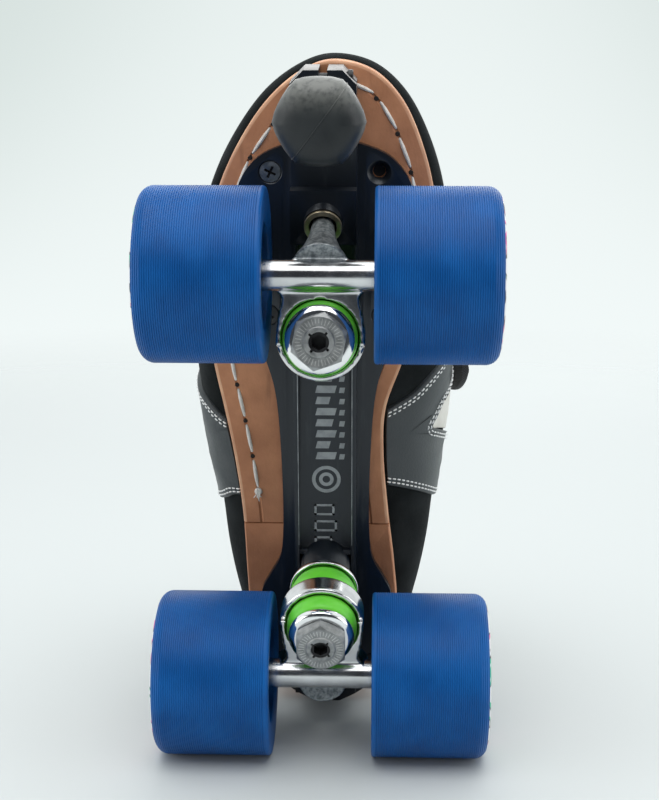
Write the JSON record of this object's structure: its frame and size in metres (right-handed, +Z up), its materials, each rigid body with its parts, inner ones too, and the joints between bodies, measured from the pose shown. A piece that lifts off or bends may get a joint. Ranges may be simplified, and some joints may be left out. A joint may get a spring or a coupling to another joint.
{
  "type": "quad roller skate",
  "caption": "Right-foot low-cut quad roller skate: leather boot on a metal plate, two cushioned trucks, grooved urethane wheels and a screw-in toe stop.",
  "frame": {"origin": "on the floor, under the middle of the skate's length and width, with the skate standing on its four wheels", "axes": "+X towards the toe, +Y towards the inner side of the foot (the skater's left), +Z up"},
  "size_m": [0.2704, 0.126, 0.2019],
  "materials": {
    "wheel_urethane": "satin cobalt blue urethane with fine grooves round the tread",
    "wheel_core": "white moulded core",
    "bearing_steel": "bright steel rings with dark shields",
    "cushion_urethane": "lime green urethane",
    "polished_alloy": "polished",
    "brass": "satin",
    "black_anodised": "satin slate black",
    "black_rubber": "matte dark grey",
    "tan_leather": "smooth tan sole leather",
    "black_suede": "black nubuck",
    "grey_leather": "smooth grey",
    "black_lining": "padded black lining",
    "black_webbing": "black strap",
    "zinc_steel": "zinc plated steel"
  },
  "bodies": {
    "chassis": {"truck_front_kingpin": "zinc_steel", "truck_front_retainer_lower": "polished_alloy", "truck_front_cushion_lower": "cushion_urethane", "truck_front_cushion_upper": "cushion_urethane", "truck_front_retainer_upper": "polished_alloy", "truck_front_pivot_cup": "brass", "truck_rear_kingpin": "zinc_steel", "truck_rear_retainer_lower": "polished_alloy", "truck_rear_cushion_lower": "cushion_urethane", "truck_rear_cushion_upper": "cushion_urethane", "truck_rear_retainer_upper": "polished_alloy", "truck_rear_pivot_cup": "brass", "plate": "black_anodised", "screw_front_outer": "zinc_steel", "screw_middle_outer": "zinc_steel", "screw_middle_inner": "zinc_steel", "screw_rear_outer": "zinc_steel", "screw_rear_inner": "zinc_steel", "toe_stop_clamp_bolt": "zinc_steel", "outsole": "tan_leather", "heel_lift": "tan_leather", "boot_upper": "black_suede", "insole": "black_lining", "quarter_panel_outer": "grey_leather", "quarter_panel_inner": "grey_leather", "eyestay_outer": "black_suede", "eyestay_inner": "black_suede", "ankle_collar": "black_lining", "tongue": "black_lining"},
    "truck_front": {"truck_front_hanger": "polished_alloy", "truck_front_axle": "zinc_steel", "wheel_front_inner_nut": "zinc_steel", "wheel_front_outer_nut": "zinc_steel"},
    "kingpin_nut_front": {"truck_front_kingpin_nut": "polished_alloy"},
    "wheel_front_inner": {"wheel_front_inner_tyre": "wheel_urethane", "wheel_front_inner_hub": "wheel_core", "wheel_front_inner_bearing_inner": "bearing_steel", "wheel_front_inner_bearing_outer": "bearing_steel"},
    "wheel_front_outer": {"wheel_front_outer_tyre": "wheel_urethane", "wheel_front_outer_hub": "wheel_core", "wheel_front_outer_bearing_inner": "bearing_steel", "wheel_front_outer_bearing_outer": "bearing_steel"},
    "truck_rear": {"truck_rear_hanger": "polished_alloy", "truck_rear_axle": "zinc_steel", "wheel_rear_inner_nut": "zinc_steel", "wheel_rear_outer_nut": "zinc_steel"},
    "kingpin_nut_rear": {"truck_rear_kingpin_nut": "polished_alloy"},
    "wheel_rear_inner": {"wheel_rear_inner_tyre": "wheel_urethane", "wheel_rear_inner_hub": "wheel_core", "wheel_rear_inner_bearing_inner": "bearing_steel", "wheel_rear_inner_bearing_outer": "bearing_steel"},
    "wheel_rear_outer": {"wheel_rear_outer_tyre": "wheel_urethane", "wheel_rear_outer_hub": "wheel_core", "wheel_rear_outer_bearing_inner": "bearing_steel", "wheel_rear_outer_bearing_outer": "bearing_steel"},
    "toe_stop": {"toe_stop": "black_rubber", "toe_stop_stem": "zinc_steel"},
    "instep_strap": {"instep_strap": "black_webbing"}
  },
  "joints": [
    {"name": "truck_front_steer", "type": "hinge", "parent": "chassis", "child": "truck_front", "pos_m": [0.07945, 0, 0.063], "axis": [0.7874, 0, 0.6165], "range_deg": [-8, 8], "stiffness_Nm_per_rad": 6, "deforming": ["truck_front_cushion_upper", "truck_front_cushion_lower"]},
    {"name": "wheel_front_inner_spin", "type": "hinge", "parent": "truck_front", "child": "wheel_front_inner", "pos_m": [0.06485, 0.041, 0.031], "axis": [0, 1, 0], "continuous": true},
    {"name": "wheel_front_outer_spin", "type": "hinge", "parent": "truck_front", "child": "wheel_front_outer", "pos_m": [0.06485, -0.041, 0.031], "axis": [0, 1, 0], "continuous": true},
    {"name": "kingpin_nut_front_turn", "type": "hinge", "parent": "chassis", "child": "kingpin_nut_front", "pos_m": [0.04535, 0, 0.014], "axis": [-0.1736, 0, 0.9848], "range_deg": [-180, 180]},
    {"name": "truck_rear_steer", "type": "hinge", "parent": "chassis", "child": "truck_rear", "pos_m": [-0.10775, 0, 0.063], "axis": [-0.7874, 0, 0.6165], "range_deg": [-8, 8], "stiffness_Nm_per_rad": 6, "deforming": ["truck_rear_cushion_upper", "truck_rear_cushion_lower"]},
    {"name": "wheel_rear_inner_spin", "type": "hinge", "parent": "truck_rear", "child": "wheel_rear_inner", "pos_m": [-0.09315, 0.041, 0.031], "axis": [0, 1, 0], "continuous": true},
    {"name": "wheel_rear_outer_spin", "type": "hinge", "parent": "truck_rear", "child": "wheel_rear_outer", "pos_m": [-0.09315, -0.041, 0.031], "axis": [0, 1, 0], "continuous": true},
    {"name": "kingpin_nut_rear_turn", "type": "hinge", "parent": "chassis", "child": "kingpin_nut_rear", "pos_m": [-0.07365, 0, 0.014], "axis": [0.1736, 0, 0.9848], "range_deg": [-180, 180]},
    {"name": "toe_stop_height", "type": "slide", "parent": "chassis", "child": "toe_stop", "axis": [0, 0, 1], "range_m": [-0.004, 0.008]},
    {"name": "instep_strap_open", "type": "hinge", "parent": "chassis", "child": "instep_strap", "pos_m": [0.002, -0.0504, 0.1258], "axis": [0.9736, -0.014, -0.2277], "range_deg": [0, 100]}
  ]
}
